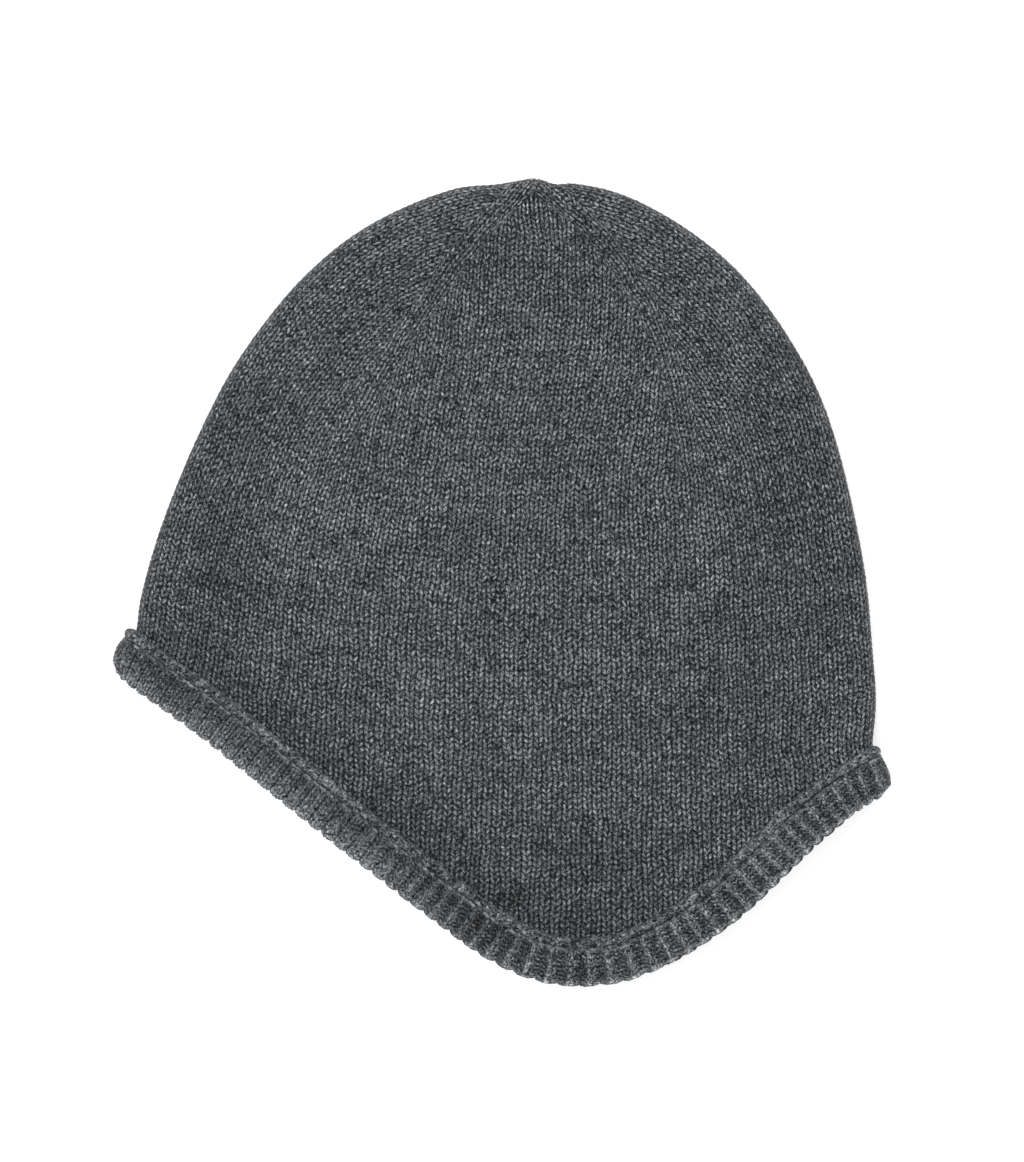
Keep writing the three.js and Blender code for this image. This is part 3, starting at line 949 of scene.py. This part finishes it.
crownward = np.where(np.cos(turn) < 0, 1, 0)[None, :]
loose = WELT_LOOSE * crownward * grain(chance, (welt_count, 1), 3)
out_reach = out_reach[None, :] * (1 + loose - WELT_DRAWN_IN * crownward)
# Painted light and shade on the welt: the outer crest of its roll lighter, its side toward the ribs darker and
# its side toward the crown lighter.
welt_lit = 0.88 + 0.14 * np.clip(np.sin(turn), 0, 1) ** 2 - 0.1 * np.cos(turn)
welt_lit = np.broadcast_to(welt_lit, swell.shape)
middle = SEAM_GAP + (WELT_WIDTH - WELT_TUCK) / 2
welt_forward = middle + out_reach * swell + WELT_RELIEF * (welt_relief - WELT_MEAN) * np.cos(turn)
welt_lift = up_reach[None, :] * swell + WELT_RELIEF * (welt_relief - WELT_MEAN) * np.sin(turn)
welt = ring_mesh(
    "linking_welt_knit", welt_ring, welt_forward, welt_lift, welt_relief, welt_lit, WELT_ROWS / 3, WELT_WALES,
)
welt.data.materials.append(wool_finish(
    "welt_wool", tone=0.295, legs=0.1, fibres=1.5, flecks=1.0, depth=0.7, gain=1.4, fine=(6.0, 1.3), stray=0.8,
))
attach(welt, "root")
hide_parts("linking_welt")


# The rib band: knitted in rib, folded double and linked on under the welt. Each rib is a narrow raised wale
# between broader troughs of purl loops, and the folded edge is scalloped by the ribs.
BAND_DEPTH = 10.3 * MM
RIB_COUNT = 114
RIB_STEPS = 12
RIB_HEIGHT = 0.65 * MM
SCALLOP = 0.75 * MM
BAND_COURSES = 9.5
BAND_ROWS = 30
PURL_RELIEF = 0.34 * MM
REAR_PEEK = 1.5 * MM
REAR_LIGHT = 0.75
END_ROUNDING = 3 * MM
END_REACH = 4 * MM
FOREHEAD_EASE = 0.45
RIB_EDGE = 0.17
RIB_SLOPE = 0.167
REAR_START = 0.6
REAR_SPAN = 0.39
REAR_FADE = 0.25
# Height of a rib beside its middle, narrow on the nape run and padded on the forehead run.
NARROW_PHASES = (0, 0.09, 0.17, 0.26, 0.34, 0.6, 0.91, 1)
NARROW_RIB = (1.0, 0.8, 0.1, 0.5, 0.1, 0.0, 0.15, 1.0)
PADDED_PLACES = (0, 0.25, 0.36, 0.5)
PADDED_RIB = (1.0, 0.95, 0.85, 0.3)
# Painted light and shade from the welt to the free edge, where the forehead run folds over and where the nape
# run lies flat.
FOLD_PLACES = (0, 0.1, 0.3, 0.55, 0.8, 0.92, 1)
FOLD_LIGHT = (0.68, 0.66, 0.69, 0.85, 0.98, 1.2, 1.25)
EDGE_PLACES = (0, 0.1, 0.2, 0.7, 0.84, 0.93, 1)
EDGE_LIGHT = (1.05, 1.0, 1, 0.96, 0.96, 1.6, 1.5)
BAND_SECTION = (
    dict(along=0, half=0.8),
    dict(along=0.2, half=0.92),
    dict(along=0.55, half=1),
    dict(along=0.88, half=0.75),
    dict(along=1, half=0),
)

band_ring = ring_places(RIB_COUNT * RIB_STEPS)
band_count = len(band_ring["length"])
index = np.arange(band_count)
rib_phase = (index % RIB_STEPS) / RIB_STEPS
from_crest = np.minimum(rib_phase, 1 - rib_phase)
forehead_side = smooth_step(1.6 - 3.2 * band_ring["length"] / mouth_length)
narrow = np.interp(rib_phase, NARROW_PHASES, NARROW_RIB)
padded = np.interp(from_crest, PADDED_PLACES, PADDED_RIB)
crest = narrow + (padded - narrow) * forehead_side
forward_share, half_share = half_section(BAND_SECTION, BAND_ROWS)
peek_share = (band_ring["length"] / mouth_length - REAR_START) / REAR_SPAN
peek = REAR_PEEK * smooth_step(peek_share / REAR_FADE) * smooth_step((1 - peek_share) / REAR_FADE)
peek = np.where(band_ring["upper"], 0, peek)
chance = np.random.default_rng(12)
rib_chance = chance.random(RIB_COUNT)[index // RIB_STEPS]
to_end = np.minimum(band_ring["length"], mouth_length - band_ring["length"])
peek = peek - END_ROUNDING * (1 - fold_rise(to_end / END_REACH))
depth = BAND_DEPTH + peek - SCALLOP * (2 * from_crest) ** 2.4 * (0.7 + 0.6 * rib_chance)
half = BAND_THICKNESS / 2 - RIB_HEIGHT * (1 - FOREHEAD_EASE * forehead_side) * (1 - crest)
start = SEAM_GAP + WELT_WIDTH + SEAM_GAP
course_at = BAND_COURSES * np.linspace(0, 1, BAND_ROWS)
on_rib = smooth_step((0.2 - from_crest) / 0.06)[:, None] * (1 - 0.7 * forehead_side[:, None])
leg_lean = np.where(from_crest < RIB_EDGE, from_crest / RIB_SLOPE, 0)[:, None]
rib_course = (course_at[None, :] + leg_lean * 0.8) % 1
purl_course = (course_at[None, :] + 0.25 * np.cos(6 * np.pi * rib_phase)[:, None]) % 1
loops = grain(chance, (band_count, BAND_ROWS), 1)
leg_place = 4 * rib_phase
leg_phase = leg_place % 1
leg_turn = np.where(leg_place.astype(int) % 2 == 0, 1, -1)
leg_course = (course_at[None, :] + (0.5 * leg_turn * leg_phase)[:, None]) % 1
leg_ridge = np.sin(np.pi * leg_phase)[:, None] ** 0.5
pad_fine = 1.5 * (leg_ridge * (0.2 + 0.8 * np.sin(np.pi * leg_course) ** 0.8) - 0.5)
fine = on_rib * (np.sin(np.pi * rib_course) ** 0.7 - 0.6) * 0.3
fine = fine + (1 - on_rib) * 1.4 * (np.sin(np.pi * purl_course) - 0.6)
fine = fine + (pad_fine - fine) * forehead_side[:, None]
fine = fine * (0.85 + loops) + (0.25 + 0.2 * forehead_side[:, None]) * loops
fade = smooth_step(np.minimum(course_at / 0.6, 1))[None, :]
fine = fine * fade
outer_forward = start + forward_share[None, :] * depth[:, None]
outer_lift = half_share[None, :] * half[:, None]
slope_forward = np.gradient(outer_forward, axis=1)
slope_lift = np.gradient(outer_lift, axis=1)
slope = np.hypot(slope_forward, slope_lift)
outer_forward = outer_forward - slope_lift / slope * fine * PURL_RELIEF
outer_lift = outer_lift + slope_forward / slope * fine * PURL_RELIEF
band_forward = np.concatenate([outer_forward, outer_forward[:, -2::-1]], axis=1)
band_lift = np.concatenate([outer_lift, -outer_lift[:, -2::-1]], axis=1)
# Painted highlight on the rib crests and painted shade in the troughs, with painted light near the welt where
# the seam would show dark.
crest_light = 0.3 + (crest * 0.8) * (1 - forehead_side)
crest_light = crest_light + (0.1 + 0.35 * crest) * forehead_side
deep = np.clip(crest_light[:, None] + 0.6 * fine + 0.35 * (1 - fade), 0, 1.2)
band_relief = np.concatenate([deep, deep[:, -2::-1]], axis=1)
fold_light = np.interp(forward_share, FOLD_PLACES, FOLD_LIGHT)
edge_light = np.interp(forward_share, EDGE_PLACES, EDGE_LIGHT)
nape_side = smooth_step((band_ring["length"] / mouth_length - 0.5) / 0.12)[:, None]
front_lit = fold_light[None, :] * (1 - nape_side) + edge_light[None, :] * nape_side
# Painted shade on the rear layer's band where it peeks out below the front one on the nape run.
behind = np.where(band_ring["upper"], 0, 1)[:, None] * nape_side
lit_half = front_lit + (REAR_LIGHT - front_lit) * behind
band_lit = np.concatenate([lit_half, lit_half[:, -2::-1]], axis=1)
band = ring_mesh(
    "rib_trim_knit", band_ring, band_forward, band_lift, band_relief, band_lit, 2 * BAND_COURSES, 3 * RIB_COUNT,
)
band.data.materials.append(wool_finish(
    "rib_wool", tone=0.345, legs=0.04, fibres=1.3, flecks=1.2, depth=0.85, gain=1.35, fine=(3.4, 1.6), stray=0.3,
))
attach(band, "root")
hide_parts("rib_trim")


# The linking chain: the thread that joins the welt and the ribs, a row of long slanting stitches
# lying in the groove between them.
CHAIN_STITCHES = 196
CHAIN_RADIUS = 0.5 * MM
CHAIN_LIFT = 2.15 * MM
CHAIN_STEPS = 8
CHAIN_SIDES = 8
CHAIN_SWAY = 0.22 * MM

chain_ring = ring_places(CHAIN_STITCHES * CHAIN_STEPS)
index = np.arange(CHAIN_STITCHES * CHAIN_STEPS)
in_stitch = index % CHAIN_STEPS / CHAIN_STEPS
swell = 0.55 + 0.45 * np.sin(np.pi * in_stitch) ** 0.6
turn = 2 * np.pi * np.arange(CHAIN_SIDES) / CHAIN_SIDES
sway = CHAIN_SWAY * (in_stitch - 0.5)
chain_forward = SEAM_GAP + WELT_WIDTH + SEAM_GAP / 2 + sway[:, None]
chain_forward = chain_forward + CHAIN_RADIUS * swell[:, None] * np.cos(turn)
chain_lift = CHAIN_LIFT + CHAIN_RADIUS * swell[:, None] * np.sin(turn)
# The chain's relief sets painted shade: each stitch darker toward its thin ends, between the stitches.
chain_relief = np.broadcast_to(swell[:, None], chain_lift.shape)
chain = ring_mesh(
    "linking_chain", chain_ring, chain_forward, chain_lift, chain_relief, np.ones_like(chain_lift), 1,
    CHAIN_STITCHES,
)
chain.data.materials.append(wool_finish(
    "chain_wool", tone=0.3, legs=0.2, fibres=0.6, flecks=0.8, depth=0.8, gain=1.25, fine=(1.5, 1.5), stray=0.2,
))
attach(chain, "root")
